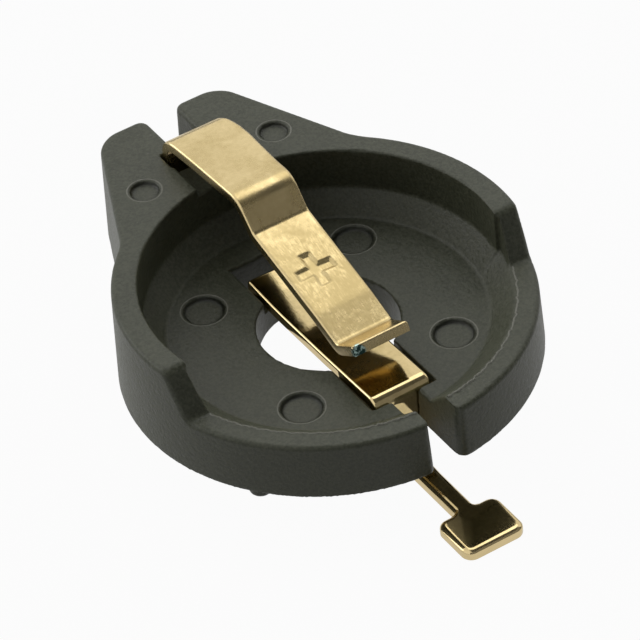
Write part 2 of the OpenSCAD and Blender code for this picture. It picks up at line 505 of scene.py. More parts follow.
STRIP_PLATING = PlatedSheet("strip_plating", torn=TornSpot((3.6, -0.92, 4.76)))
BLADE_PLATING = PlatedSheet("blade_plating", gloss_low=0.06, gloss_high=0.10, grain_depth=0.0015)


# ---------------------------------------------------------------- the moulded base


def wobble(length: np.ndarray, seed: int, wave: float) -> np.ndarray:
    """Gives a smooth irregular value along a line, the same on every run.

    Args:
        length: Lengths along the line, in millimetres.
        seed: Picks the pattern.
        wave: The usual length of its waves, in millimetres.

    Returns:
        Values from 0 to 1.
    """
    chance = np.random.default_rng(seed)
    total = np.zeros(len(length))
    for k in range(7):
        pitch = wave / (1.0 + 0.7 * k)
        total += np.sin(length * 2 * math.pi / pitch + chance.uniform(0, 6.28)) / (1.0 + 0.6 * k)
    return np.clip(0.5 + total / 4.5, 0.0, 1.0)


@dataclass
class Bead:
    """A thin ridge of plastic that lies on the base along a line.

    The line runs with its side direction on its right, so that the faces turn outwards.
    """

    line: np.ndarray
    width: np.ndarray
    height: np.ndarray
    side: np.ndarray
    closed: bool = False
    sunk: float = 0.004

    def mesh(self) -> tuple[np.ndarray, list[tuple[int, ...]]]:
        """Sweeps the ridge.

        Returns:
            Its points in millimetres and its faces.
        """
        profile = ((-0.5, -0.25), (-0.28, 0.65), (0.0, 1.0), (0.28, 0.65), (0.5, -0.25))
        up = np.array((0.0, 0.0, 1.0))
        points, size = [], len(profile)
        for place, width, height, side in zip(self.line, self.width, self.height, self.side):
            for u, v in profile:
                points.append(place + side * u * width + up * (v * height - self.sunk))
        count = len(self.line)
        faces: list[tuple[int, ...]] = []
        for i in range(count if self.closed else count - 1):
            j = (i + 1) % count
            for k in range(size):
                m = (k + 1) % size
                faces.append((i * size + k, i * size + m, j * size + m, j * size + k))
        if not self.closed:
            faces.append(tuple(range(size)))
            faces.append(tuple(range(count * size - 1, (count - 1) * size - 1, -1)))
        return np.array(points), faces

    def normals(self) -> np.ndarray:
        """Gives the ridge's outward directions.

        Returns:
            One unit vector for each point, in the points' order.
        """
        lean = (-0.4, -0.3, 0.0, 0.3, 0.4)
        up = np.array((0.0, 0.0, 1.0))
        rows = [side * u + up * (1.0 - abs(u)) for side in self.side for u in lean]
        facing = np.array(rows)
        return facing / np.linalg.norm(facing, axis=1, keepdims=True)


def both(first: np.ndarray, second: np.ndarray, radius: float | np.ndarray) -> np.ndarray:
    """Gives the distance to what two solids share, with the edge between them rounded.

    Args:
        first: Distances to one solid, negative inside.
        second: Distances to the other.
        radius: The edge's radius.

    Returns:
        Distances to the shared solid.
    """
    round_part = np.hypot(np.maximum(first + radius, 0.0), np.maximum(second + radius, 0.0))
    return np.minimum(np.maximum(first, second), -radius) + round_part


def either(first: np.ndarray, second: np.ndarray, radius: float | np.ndarray) -> np.ndarray:
    """Gives the distance to two joined solids, with the corner between them filled round."""
    return -both(-first, -second, radius)


@dataclass
class Housing:
    """The moulded base, meshed from its distance field so that every edge has its mould round.

    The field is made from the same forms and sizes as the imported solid, apart from the window's
    lower part, which a bridge and a step narrow under the blade. The widths and heights of the
    mark rims and the flash are pairs: the least, and what their unevenness adds at most.
    """

    pitch: float = 0.096
    settle_steps: int = 4
    settle_reach: float = 0.04
    standoff: float = 1.8
    floor_z: float = 3.15
    rim_z: float = 5.6
    low_rim_z: float = 3.95
    draft: float = math.radians(2.4)
    rim_r: float = 7.25
    pocket_r: float = 6.35
    relief: float = 0.13
    ledge_r: float = 5.6
    hole_r: float = 2.5
    ramp: tuple[float, float] = (1.3, 2.25)
    top_round: float = 0.17
    small_round: float = 0.06
    ramp_round: float = 0.2
    ramp_foot: float = 0.1
    ledge_round: float = 0.05
    wing_tip: float = -10.9
    wing_root: float = -5.0
    wing_half: float = 2.5
    wing_angle: float = math.radians(23.0)
    wing_tip_round: float = 0.36
    wing_side_round: float = 0.70
    wing_join: float = 0.15
    block_front: float = -4.87
    gap_half: float = 0.62
    slot_x: tuple[float, float] = (-8.72, -7.87)
    window_x: tuple[float, float] = (-4.45, 4.76)
    leg_half: float = 1.25
    step_half: float = 0.8
    step_z: float = 2.7
    bridge_x: tuple[float, float] = (-3.3, 1.0)
    leg_t: float = 0.42
    channel_front: float = -5.85
    channel_half: float = 1.175
    channel_z: float = 5.3
    front_half: float = 0.47
    front_draft: float = math.radians(2.6)
    mouth_r: float = 0.4
    foot_place: tuple[float, float] = (2.75, 4.77)
    foot_r: float = 0.425
    foot_round: float = 0.15
    foot_join: float = 0.06
    mark_depth: float = 0.14
    mark_slope: float = 0.5
    mark_round: float = 0.045
    mark_rim_out: float = 0.085
    mark_rim_w: tuple[float, float] = (0.05, 0.02)
    mark_rim_h: tuple[float, float] = (0.008, 0.006)
    mark_rim_wave: float = 1.4
    # Where the painted shade lies on the pin mark walls: how far inside the edge, how wide, and over
    # what depth it grows.
    mark_wall_in: float = 0.05
    mark_wall_w: float = 0.09
    mark_wall_h: float = 0.07
    flash_gap: float = 0.16
    flash_out: float = 0.08
    flash_w: tuple[float, float] = (0.06, 0.10)
    flash_h: tuple[float, float] = (0.012, 0.08)
    flash_wave: float = 0.55
    flash_wander: float = 0.07
    flash_thin: float = 0.30
    flash_fade: float = 0.30
    marks: tuple[tuple[float, float, float, float], ...] = (
        (3.17, 3.09, 0.74, 3.15), (3.17, -3.09, 0.74, 3.15), (-3.17, 3.09, 0.74, 3.15),
        (-3.17, -3.09, 0.74, 3.15), (-7.37, 2.67, 0.54, 5.6), (-7.37, -2.67, 0.54, 5.6))

    def _outer(self, x: np.ndarray, y: np.ndarray, z: np.ndarray) -> np.ndarray:
        """Gives the distance to the outer walls of the ring, the wings and the block between.

        Args:
            x: Places along X.
            y: Places along Y.
            z: Places along Z.

        Returns:
            The distances, negative inside.
        """
        grow = (self.rim_z - z) * math.tan(self.draft)
        aside = np.abs(y)
        ring = np.hypot(x, y) - self.rim_r
        slope = aside - self.wing_half - (x - self.wing_tip) * math.tan(self.wing_angle)
        wing = both(self.wing_tip - x, self.gap_half - aside, self.wing_tip_round)
        wing = both(wing, slope * math.cos(self.wing_angle), self.wing_side_round)
        wing = np.maximum(wing, x - self.wing_root)
        walls = (either(ring, wing, self.wing_join) - grow) * math.cos(self.draft)
        block = np.maximum(np.maximum(self.slot_x[1] - x, x - self.block_front), aside - self.leg_half)
        return np.minimum(walls, block)

    def _top(self, x: np.ndarray, z: np.ndarray) -> np.ndarray:
        """Gives the distance to the top: the high rim, the ramps and the low rim.

        Args:
            x: Places along X.
            z: Places along Z.

        Returns:
            The distances, negative inside.
        """
        run, rise = self.ramp[1] - self.ramp[0], self.rim_z - self.low_rim_z
        slant = math.hypot(run, rise)
        ramp = ((x - self.ramp[1]) * rise + (z - self.low_rim_z) * run) / slant
        high = both(z - self.rim_z, ramp, self.ramp_round)
        return either(z - self.low_rim_z, high, self.ramp_foot)

    def _pocket(self, x: np.ndarray, r: np.ndarray, z: np.ndarray) -> np.ndarray:
        """Gives the distance to the space of the pocket over its floor and ledge.

        Args:
            x: Places along X.
            r: Distances from the pocket axis.
            z: Places along Z.

        Returns:
            The distances, negative inside.
        """
        wide = np.clip((x - self.ramp[0]) / 0.12 + 0.5, 0.0, 1.0) * self.relief
        wall = r - self.pocket_r - wide
        run = self.pocket_r + wide - self.ledge_r
        rise = self.low_rim_z - self.floor_z
        ledge = ((r - self.ledge_r) * rise - (z - self.floor_z) * run) / np.hypot(run, rise)
        return both(both(wall, ledge, self.ledge_round), self.floor_z - z, self.small_round)

    def _front_slot(self, x: np.ndarray, y: np.ndarray, z: np.ndarray) -> np.ndarray:
        """Gives the distance to the cut through the front wall, with its rounded mouth.

        Args:
            x: Places along X.
            y: Places along Y.
            z: Places along Z.

        Returns:
            The distances, negative inside.
        """
        lean = (z - self.standoff) * math.tan(self.front_draft)
        aside = np.abs(y) - lean
        cut = np.maximum(aside - self.front_half, self.window_x[1] - x)
        foot_r = self.rim_r + (self.rim_z - self.standoff) * math.tan(self.draft)
        centre_y = self.front_half + self.mouth_r
        centre_x = math.sqrt((foot_r - self.mouth_r) ** 2 - centre_y ** 2) + 0.02
        mouth = np.maximum(centre_x - x, aside - centre_y)
        mouth = np.maximum(mouth, self.mouth_r - np.hypot(x - centre_x, aside - centre_y))
        return np.minimum(cut, mouth)

    def _openings(self) -> list[tuple[float, float, float, float]]:
        """Gives the straight cuts for the contacts.

        Returns:
            Rows of first x, last x, half width and lower end, each open to above.
        """
        rear, front = self.window_x
        return [(rear, front, self.leg_half, self.step_z),
                (rear, self.bridge_x[0], self.leg_half, 0.0),
                (self.bridge_x[1], front, self.step_half, 0.0),
                (front - self.leg_t, front, self.leg_half, 0.0),
                (*self.slot_x, self.leg_half, 0.0),
                (self.slot_x[0], self.channel_front, self.channel_half, self.channel_z)]

    def field(self, place: np.ndarray) -> np.ndarray:
        """Gives the distance to the base, negative inside it.

        Args:
            place: Rows of x, y, z.

        Returns:
            One distance for each row.
        """
        x, y, z = place[:, 0], place[:, 1], place[:, 2]
        r, aside = np.hypot(x, y), np.abs(y)
        uneven = 1.0 + 0.35 * np.sin(5.1 * x + 1.3 * y) * np.sin(4.3 * y - 2.0 * z + 0.7)
        small = self.small_round * uneven
        solid = both(self._outer(x, y, z), self._top(x, z), self.top_round)
        solid = both(solid, self.standoff - z, small)
        foot = np.hypot(np.abs(x) - self.foot_place[0], aside - self.foot_place[1]) - self.foot_r
        foot = both(both(foot, -z, self.foot_round), z - self.standoff - 0.5, 0.05)
        solid = either(solid, foot, self.foot_join)
        solid = both(solid, -self._pocket(x, r, z), small * 1.2)
        solid = both(solid, self.hole_r - r, small)
        for x0, x1, half, z0 in self._openings():
            cut = np.maximum(np.maximum(x0 - x, x - x1), aside - half)
            solid = both(solid, -np.maximum(cut, z0 - z), small * 0.8)
        solid = both(solid, -self._front_slot(x, y, z), small)
        for mark_x, mark_y, mark_r, mark_z in self.marks:
            wall = np.hypot(x - mark_x, y - mark_y) - mark_r + self.mark_slope * (mark_z - z)
            pit = both(wall * 0.9, mark_z - self.mark_depth - z, 0.04)
            solid = both(solid, -pit, self.mark_round)
        return solid

    def _facing(self, place: np.ndarray) -> np.ndarray:
        """Gives the way in which the field grows fastest, found by small steps.

        Args:
            place: Rows of x, y, z.

        Returns:
            One unit vector for each row.
        """
        step = 0.004
        slopes = []
        for axis in range(3):
            move = np.zeros(3)
            move[axis] = step
            slopes.append(self.field(place + move) - self.field(place - move))
        slope = np.column_stack(slopes)
        return slope / np.maximum(np.linalg.norm(slope, axis=1, keepdims=True), 1e-9)

    def _grid(self) -> tuple[np.ndarray, np.ndarray]:
        """Samples the field on a grid round the base.

        Returns:
            The grid's first corner and the field's values at its points.
        """
        low = np.array((-11.35, -7.65, -0.21))
        high = np.array((7.65, 7.65, 5.85))
        count = np.ceil((high - low) / self.pitch).astype(int) + 1
        ys, zs = (low[k] + self.pitch * np.arange(count[k]) for k in (1, 2))
        sheet = np.stack(np.meshgrid(ys, zs, indexing="ij"), axis=-1).reshape(-1, 2)
        values = np.empty(count, np.float32)
        for i in range(count[0]):
            x = np.full((len(sheet), 1), low[0] + self.pitch * i)
            values[i] = self.field(np.hstack((x, sheet))).reshape(count[1], count[2])
        return low, values

    def surface(self) -> tuple[np.ndarray, np.ndarray, np.ndarray]:
        """Meshes the field's zero surface with one point in each cell that it crosses.

        Returns:
            Points, their outward normals, and faces of four.
        """
        low, values = self._grid()
        inside = values < 0
        size = np.array(values.shape) - 1
        corner = [(i, j, k) for i in (0, 1) for j in (0, 1) for k in (0, 1)]
        window = [tuple(slice(c, c + n) for c, n in zip(at, size)) for at in corner]
        filled = sum(inside[w].astype(np.int8) for w in window)
        cells = np.argwhere((filled > 0) & (filled < 8))
        number = np.full(tuple(size), -1, np.int64)
        number[tuple(cells.T)] = np.arange(len(cells))
        total, hits = np.zeros((len(cells), 3)), np.zeros(len(cells))
        for a in range(8):
            for b in range(a + 1, 8):
                start, end = np.array(corner[a]), np.array(corner[b])
                if np.abs(end - start).sum() != 1:
                    continue
                va = values[tuple((cells + start).T)].astype(float)
                vb = values[tuple((cells + end).T)].astype(float)
                crossed = (va < 0) != (vb < 0)
                share = np.where(crossed, va / np.where(crossed, va - vb, 1.0), 0.0)
                total += np.where(crossed[:, None], start + share[:, None] * (end - start), 0.0)
                hits += crossed
        place = low + (cells + total / hits[:, None]) * self.pitch
        faces = self._faces(inside, number)
        for _ in range(self.settle_steps):
            off = np.clip(self.field(place), -self.settle_reach, self.settle_reach)
            place = place - off[:, None] * self._facing(place)
        place[:, 2] = np.maximum(place[:, 2], 0.0)
        return place, self._facing(place), faces

    def _faces(self, inside: np.ndarray, number: np.ndarray) -> np.ndarray:
        """Joins the points of the four cells round every grid edge that the surface crosses.

        Args:
            inside: Whether each grid point lies in the base.
            number: Each cell's point.

        Returns:
            Faces of four points, seen from outside.
        """
        faces = []
        for axis in range(3):
            u, v = (axis + 1) % 3, (axis + 2) % 3
            first = [slice(None)] * 3
            last = [slice(None)] * 3
            first[axis], last[axis] = slice(0, -1), slice(1, None)
            for k in (u, v):
                first[k] = last[k] = slice(1, -1)
            a, b = inside[tuple(first)], inside[tuple(last)]
            at = np.argwhere(a != b)
            outward = a[tuple(at.T)]
            at[:, u] += 1
            at[:, v] += 1
            ring = []
            for du, dv in ((1, 1), (0, 1), (0, 0), (1, 0)):
                cell = at.copy()
                cell[:, u] -= du
                cell[:, v] -= dv
                ring.append(number[tuple(cell.T)])
            quad = np.column_stack(ring)
            quad[~outward] = quad[~outward][:, ::-1]
            faces.append(quad)
        return np.vstack(faces)

    def build(self) -> bpy.types.Object:
        """Builds the base with its mark rims and flash.

        Returns:
            The finished mesh object, with the value mark at 1 on the walls of the pin marks, which
            carry a painted shade, and the value flash at 1 on the ridges, which carry a painted
            highlight.
        """
        place, normal, quads = self.surface()
        points, facing, faces = [place], [normal], [tuple(q) for q in quads.tolist()]
        start = len(place)
        for bead in self._beads():
            more, more_faces = bead.mesh()
            points.append(more)
            facing.append(bead.normals())
            faces += [tuple(k + start for k in face) for face in more_faces]
            start += len(more)
        piece = make_object("housing", np.vstack(points), faces)
        piece.data.shade_smooth()
        piece.data.normals_split_custom_set_from_vertices(np.vstack(facing).tolist())
        # Masks for the material: the first places the painted shade on the pin mark walls, the second
        # the painted highlight on the ridges.
        add_values(piece, "mark", self._pin_shade_values(place, start))
        add_values(piece, "flash_highlight", np.arange(start) >= len(place))
        return piece

    def _beads(self) -> list[Bead]:
        """Gives the rims of the pin marks and the flash on the low rim.

        Returns:
            The ridges, ready to mesh.
        """
        beads = []
        for seed, (x, y, r, z) in enumerate(self.marks):
            turn = np.linspace(0.0, 2 * math.pi, 73)[:-1]
            side = np.column_stack((np.cos(turn), np.sin(turn), np.zeros(len(turn))))
            line = side * (r + self.mark_rim_out) + (x, y, z)
            rough = wobble(turn * r, seed, self.mark_rim_wave)
            width = self.mark_rim_w[0] + self.mark_rim_w[1] * rough
            height = self.mark_rim_h[0] + self.mark_rim_h[1] * rough
            beads.append(Bead(line, width, height, side, closed=True))
        radius = self.pocket_r + self.relief
        start = math.asin((self.front_half + self.flash_gap) / radius)
        end = math.acos((self.ramp[1] + 0.05) / radius)
        for way in (1, -1):
            turn = np.linspace(start, end, 420)[::way]
            side = np.column_stack((np.cos(turn), way * np.sin(turn), np.zeros(len(turn))))
            rough = wobble(turn * radius, 11 + way, self.flash_wave)
            near = np.exp(-((turn - start) / self.flash_fade) ** 2)
            fade = self.flash_thin + (1.0 - self.flash_thin) * near
            offset = self.flash_wander * (wobble(turn * radius, 21 + way, 0.6) - 0.4)
            line = side * (radius + self.flash_out + offset)[:, None] + (0.0, 0.0, self.low_rim_z)
            width = self.flash_w[0] + self.flash_w[1] * rough * fade
            height = self.flash_h[0] + self.flash_h[1] * rough * fade
            beads.append(Bead(line, width, height, side))
        return beads

    def _pin_shade_values(self, place: np.ndarray, count: int) -> np.ndarray:
        """Finds the walls of the pin marks, where the plastic gets a painted shade.

        Args:
            place: The field's points, which come first in the mesh.
            count: How many points the mesh has.

        Returns:
            1 for points on those walls, and 0 for the rest.
        """
        inside = np.zeros(count)
        for x, y, r, z in self.marks:
            away = np.abs(np.hypot(place[:, 0] - x, place[:, 1] - y) - r + self.mark_wall_in)
            below = np.clip((z - place[:, 2]) / self.mark_wall_h, 0.0, 1.0)
            deep = below * (place[:, 2] > z - 0.3)
            inside[:len(place)] += np.clip(1.4 - away / self.mark_wall_w, 0.0, 1.0) * deep
        return inside

    def dress(self, piece: bpy.types.Object, groups: SurfaceGroups) -> None:
        """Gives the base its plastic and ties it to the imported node.

        Args:
            piece: The mesh object.
            groups: The shared effects.
        """
        piece.data.materials.append(MouldedPlastic().material(groups))
        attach(piece, ROOT)
        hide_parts("base")


# ---------------------------------------------------------------- the formed contacts


@dataclass
class BentPath:
    """The upper face of a bent sheet, seen from the side, with the sheet on its right."""

    points: list[tuple[float, float]]
    radii: list[float]
    step: float = 0.045
    arc_deg: float = 4.0

    def __post_init__(self) -> None:
        """Walks the path once and keeps its stations."""
        self.rows = self._walk()

    def _walk(self) -> np.ndarray:
        """Follows the straight runs and the bends from end to end.

        Returns:
            Rows of length, x, z, normal x and normal z.
        """
        corner = [np.array(p, float) for p in self.points]
        places: list[np.ndarray] = []
        normals: list[np.ndarray] = []

        def straight(start: np.ndarray, end: np.ndarray) -> None:
            """Adds evenly spaced stations.

            Args:
                start: Where the run starts.
                end: Where it ends.
            """
            along = end - start
            length = float(np.linalg.norm(along))
            if length < 1e-6:
                return
            count = max(2, int(length / self.step))
            side = np.array((-along[1], along[0])) / length
            for k in range(count + 1):
                places.append(start + along * k / count)
                normals.append(side)

        start = corner[0]
        for i in range(1, len(corner) - 1):
            into = (corner[i] - corner[i - 1]) / np.linalg.norm(corner[i] - corner[i - 1])
            out = (corner[i + 1] - corner[i]) / np.linalg.norm(corner[i + 1] - corner[i])
            angle = math.atan2(into[0] * out[1] - into[1] * out[0], float(into @ out))
            bend = 1.0 if angle > 0 else -1.0
            radius = self.radii[i - 1]
            reach = radius * math.tan(abs(angle) / 2)
            straight(start, corner[i] - into * reach)
            side = np.array((-into[1], into[0]))
            centre = corner[i] - into * reach + bend * radius * side
            count = max(3, math.ceil(math.degrees(abs(angle)) / self.arc_deg))
            for k in range(1, count):
                turn = angle * k / count
                facing = np.array((side[0] * math.cos(turn) - side[1] * math.sin(turn),
                                   side[0] * math.sin(turn) + side[1] * math.cos(turn)))
                places.append(centre - bend * radius * facing)
                normals.append(facing)
            start = corner[i] + out * reach
        straight(start, corner[-1])
        place = np.array(places)
        normal = np.array(normals)
        gaps = np.linalg.norm(np.diff(place, axis=0), axis=1)
        length = np.concatenate(([0.0], np.cumsum(gaps)))
        keep = np.concatenate(([True], gaps > 1e-6))
        return np.column_stack((length, place, normal))[keep]

    def at(self, length: np.ndarray) -> tuple[np.ndarray, np.ndarray]:
        """Gives the place and the upward normal at lengths along the path.

        Args:
            length: Lengths from the path's start.

        Returns:
            Places and normals, each as rows of x and z.
        """
        found = np.column_stack([np.interp(length, self.rows[:, 0], self.rows[:, k])
                                 for k in (1, 2, 3, 4)])
        normal = found[:, 2:] / np.linalg.norm(found[:, 2:], axis=1, keepdims=True)
        return found[:, :2], normal

    def length_at_height(self, z: float) -> float:
        """Finds a height on the leg.

        Args:
            z: The height.

        Returns:
            The length along the path there.
        """
        leg = self.rows[np.argmax(self.rows[:, 3] < -0.999):]
        upto = leg[:int(np.argmax(leg[:, 3] > -0.999))]
        return float(np.interp(z, upto[:, 2], upto[:, 0]))

    def length_at_reach(self, x: float) -> float:
        """Finds a place on the part of the path that runs over the pocket.

        Args:
            x: The place along X.

        Returns:
            The length along the path there.
        """
        top = self.rows[int(np.argmax(self.rows[:, 2])) // 2:]
        top = top[top[:, 3] > -0.9]
        return float(np.interp(x, top[:, 1], top[:, 0]))


@dataclass(frozen=True)
class StampedPlus:
    """A shallow plus struck into the upper face."""

    length: float
    across: float
    arm: float = 0.70
    half_width: float = 0.18
    depth: float = 0.06
    wall: float = 0.13
    lean: float = 0.55

    def sink(self, length: np.ndarray, across: np.ndarray) -> np.ndarray:
        """Gives how deep the face is pressed in.

        Args:
            length: Lengths along the sheet.
            across: Distances across it.

        Returns:
            The depth at each point, in millimetres.
        """
        along = length - self.length
        aside = across - self.across
        bar_a = np.maximum(np.abs(along) - self.arm, np.abs(aside) - self.half_width)
        bar_b = np.maximum(np.abs(aside) - self.arm, np.abs(along) - self.half_width)
        away = np.minimum(bar_a, bar_b) + 0.012 * np.sin(9.0 * along + 4.0 * aside)
        inside = np.clip(0.5 - away / self.wall, 0.0, 1.0)
        deep = self.depth * np.clip(1.0 + self.lean * (aside - along), 0.35, 1.7)
        return deep * inside * inside * (3.0 - 2.0 * inside)


@dataclass
class FormedStrip:
    """One contact cut from sheet and bent along a path.

    The outline holds rows of length, left edge and right edge, and a jump in width is two rows
    at the same length.
    """

    name: str
    path: BentPath
    outline: list[tuple[float, float, float]]
    mirrored: bool = False
    sheet_t: float = 0.38
    roll_w: float = 0.12
    roll_d: float = 0.08
    pad_roll_w: float = 0.22
    pad_roll_d: float = 0.15
    pad_roll_end: float = 4.0
    burr: float = 0.02
    columns: int = 64
    rubbed: tuple[float, float] = (1000.0, 1001.0)
    plus: StampedPlus | None = None

    def _rows(self) -> np.ndarray:
        """Gives the outline at every station of the path.

        Returns:
            Rows of length, left edge and right edge.
        """
        grid = self.path.rows[:, 0]
        rows: list[np.ndarray] = []
        for first, last in zip(self.outline, self.outline[1:]):
            a, b = np.array(first), np.array(last)
            rows.append(a)
            if b[0] - a[0] < 1e-6:
                continue
            for s in grid[(grid > a[0] + 0.004) & (grid < b[0] - 0.004)]:
                rows.append(a + (b - a) * (s - a[0]) / (b[0] - a[0]))
        rows.append(np.array(self.outline[-1]))
        return np.array(rows)

    def _edge_distance(self, rows: np.ndarray, s: float, y: np.ndarray) -> np.ndarray:
        """Gives how far points of one row lie from the sheet's cut edge.

        Args:
            rows: All rows of the outline.
            s: The row's length.
            y: The points' distances across.

        Returns:
            The distances, no more than twice the edge round.
        """
        reach = 2 * self.pad_roll_w
        near = np.nonzero(np.abs(rows[:, 0] - s) <= reach + 0.05)[0]
        lo, hi = max(near[0] - 1, 0), min(near[-1] + 1, len(rows) - 1)
        best = np.full(len(y), reach)
        runs = [np.column_stack((rows[lo:hi + 1, 0], rows[lo:hi + 1, side])) for side in (1, 2)]
        for end in (0, len(rows) - 1):
            if abs(rows[end, 0] - s) <= reach:
                runs.append(np.array([(rows[end, 0], rows[end, 1]), (rows[end, 0], rows[end, 2])]))
        for run in runs:
            for a, b in zip(run, run[1:]):
                ab = b - a
                size = float(ab @ ab)
                if size < 1e-14:
                    continue
                t = np.clip(((s - a[0]) * ab[0] + (y - a[1]) * ab[1]) / size, 0.0, 1.0)
                best = np.minimum(best, np.hypot(s - a[0] - t * ab[0], y - a[1] - t * ab[1]))
        return best

    def build(self) -> bpy.types.Object:
        """Bends the flat outline along the path.

        Returns:
            The mesh object, with the value edge at 1 on the cut edges and the value rub at 1
            where the cells slide.
        """
        rows = self._rows()
        fixed = np.array([0.0, 0.008, 0.022, 0.045, 0.075, 0.11, 0.15, 0.2])
        middle = np.linspace(0.0, 1.0, self.columns - 2 * len(fixed) + 2)[1:-1]
        places, normals = self.path.at(rows[:, 0])
        points, edge, rub, ring = [], [], [], 0
        for (s, left, right), place, normal in zip(rows, places, normals):
            inner = left + fixed[-1] + (right - left - 2 * fixed[-1]) * middle
            y = np.concatenate((left + fixed, inner, (right - fixed)[::-1]))
            away = self._edge_distance(rows, s, y)
            share = float(np.interp(s, (self.pad_roll_end, self.pad_roll_end + 0.8), (1.0, 0.0)))
            roll_w = self.roll_w + share * (self.pad_roll_w - self.roll_w)
            roll_d = self.roll_d + share * (self.pad_roll_d - self.roll_d)
            u = np.clip(1.0 - away / roll_w, 0.0, 1.0)
            n = -roll_d * (1.0 - np.sqrt(1.0 - u * u))
            if self.plus is not None:
                n = n - self.plus.sink(np.full(len(y), s), y)
            b = self.burr
            low_y = np.array([right, right - b, right * 0.5 + left * 0.5, left + b, left])
            low_n = np.array([-self.sheet_t + b, -self.sheet_t, -self.sheet_t, -self.sheet_t,
                              -self.sheet_t + b])
            all_y, all_n = np.concatenate((y, low_y)), np.concatenate((n, low_n))
            x = place[0] + normal[0] * all_n
            z = place[1] + normal[1] * all_n
            points.append(np.column_stack((-x if self.mirrored else x, all_y, z)))
            edge.append(np.concatenate((u, [1.0, 0.6, 0.0, 0.6, 1.0])))
            rub.append(np.full(len(all_y), np.interp(s, self.rubbed, (0.0, 1.0))))
            ring = len(all_y)
        faces: list[tuple[int, ...]] = []
        for i in range(len(rows) - 1):
            for k in range(ring):
                m = (k + 1) % ring
                faces.append((i * ring + k, i * ring + m, (i + 1) * ring + m, (i + 1) * ring + k))
        last = (len(rows) - 1) * ring
        faces.append(tuple(range(ring)))
        faces.append(tuple(range(last + ring - 1, last - 1, -1)))
        piece = make_object(self.name, np.vstack(points), faces)
        add_values(piece, "edge", np.concatenate(edge))
        add_values(piece, "rub", np.concatenate(rub))
        close_and_smooth(piece, 40.0)
        return piece


@dataclass
class Contacts:
    """The two contacts: both cut from the same sheet and bent to their own paths.

    The strip's edges are rows of x, left edge and right edge. It bulges a little over the wings.
    """

    pad_l: float = 1.95
    pad_w: float = 2.4
    corner_r: float = 0.38
    neck_w: float = 0.76
    fillet_r: float = 0.2
    strip_w: float = 2.25
    leg_slot_w: float = 2.5
    shoulder_z: float = 1.35
    barb_z: float = 2.3
    barb_h: float = 0.45
    strip_edges: tuple[tuple[float, float, float], ...] = (
        (-8.24, -1.16, 1.14), (-8.03, -1.15, 1.23), (-7.73, -1.13, 1.30), (-7.3, -1.12, 1.35),
        (-6.65, -1.11, 1.35), (-6.0, -1.11, 1.30), (-5.5, -1.11, 1.27), (-4.64, -1.11, 1.21),
        (-3.4, -1.12, 1.18), (2.4, -1.12, 1.15), (3.3, -1.11, 1.11))
    lip_edges: tuple[float, float] = (-1.11, 1.11)
    plus_x: float = -0.42
    plus_y: float = -0.04
    rub_x: float = -2.4
    rub_fade: float = 0.8
    blade_corner_r: float = 0.12
    positive_path: list[tuple[float, float]] = field(default_factory=lambda: [
        (-13.45, 0.38), (-8.72, 0.38), (-8.72, 6.47), (-3.55, 6.8565), (-2.66, 5.88), (1.15, 4.81),
        (2.45, 4.36), (3.45, 4.98)])
    positive_bends: list[float] = field(default_factory=lambda: [0.15, 0.85, 0.95, 0.35, 4.0, 0.3])
    negative_path: list[tuple[float, float]] = field(default_factory=lambda: [
        (-10.05, 0.38), (-4.76, 0.38), (-4.76, 3.32), (-1.5, 3.18), (1.6, 3.11), (3.53, 3.21)])
    negative_bends: list[float] = field(default_factory=lambda: [0.15, 0.48, 20.0, 20.0])

    def _pad_and_leg(self, path: BentPath) -> list[tuple[float, float, float]]:
        """Gives the outline of the solder pad, the neck and the leg up to its barbs.

        Args:
            path: The contact's path.

        Returns:
            Rows of length, left edge and right edge.
        """
        half, r, f, neck = self.pad_w / 2, self.corner_r, self.fillet_r, self.neck_w / 2
        turns = [math.radians(a) for a in range(0, 91, 10)]
        rows = [(r * (1 - math.cos(a)), half - r + r * math.sin(a)) for a in turns]
        rows += [(self.pad_l - r + r * math.sin(a), half - r + r * math.cos(a)) for a in turns]
        rows += [(self.pad_l + f * (1 - math.cos(a)), neck + f * (1 - math.sin(a))) for a in turns]
        full = self.strip_w / 2
        for z, w in ((self.shoulder_z, neck), (self.shoulder_z + 0.25, full), (self.barb_z, full),
                     (self.barb_z + self.barb_h - 0.1, self.leg_slot_w / 2),
                     (self.barb_z + self.barb_h, self.leg_slot_w / 2),
                     (self.barb_z + self.barb_h, full)):
            rows.append((path.length_at_height(z), w))
        return [(s, -w, w) for s, w in rows]

    def positive(self) -> FormedStrip:
        """Gives the sprung strip over the pocket.

        Returns:
            The strip, ready to build.
        """
        path = BentPath(self.positive_path, self.positive_bends)
        outline = self._pad_and_leg(path)
        outline += [(path.length_at_reach(x), left, right) for x, left, right in self.strip_edges]
        outline.append((float(path.rows[-1, 0]), *self.lip_edges))
        plus = StampedPlus(length=path.length_at_reach(self.plus_x), across=self.plus_y)
        start = path.length_at_reach(self.rub_x)
        return FormedStrip("positive_strip", path, outline, rubbed=(start, start + self.rub_fade),
                           plus=plus)

    def negative(self) -> FormedStrip:
        """Gives the flat blade under the cell.

        Returns:
            The strip, ready to build.
        """
        path = BentPath(self.negative_path, self.negative_bends)
        outline = self._pad_and_leg(path)
        end = float(path.rows[-1, 0])
        full, r = self.strip_w / 2, self.blade_corner_r
        for a in range(0, 91, 15):
            turn = math.radians(a)
            half = full - r + r * math.cos(turn)
            outline.append((end - r + r * math.sin(turn), -half, half))
        return FormedStrip("negative_strip", path, outline, mirrored=True)

    def dress(self, piece: bpy.types.Object, finish: PlatedSheet, node: str, slot: Slot,
              groups: SurfaceGroups) -> None:
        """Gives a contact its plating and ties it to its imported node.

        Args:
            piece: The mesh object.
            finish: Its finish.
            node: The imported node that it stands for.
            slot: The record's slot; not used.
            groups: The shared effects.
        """
        piece.data.materials.append(finish.material(groups))
        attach(piece, ROOT)
        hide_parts(node)


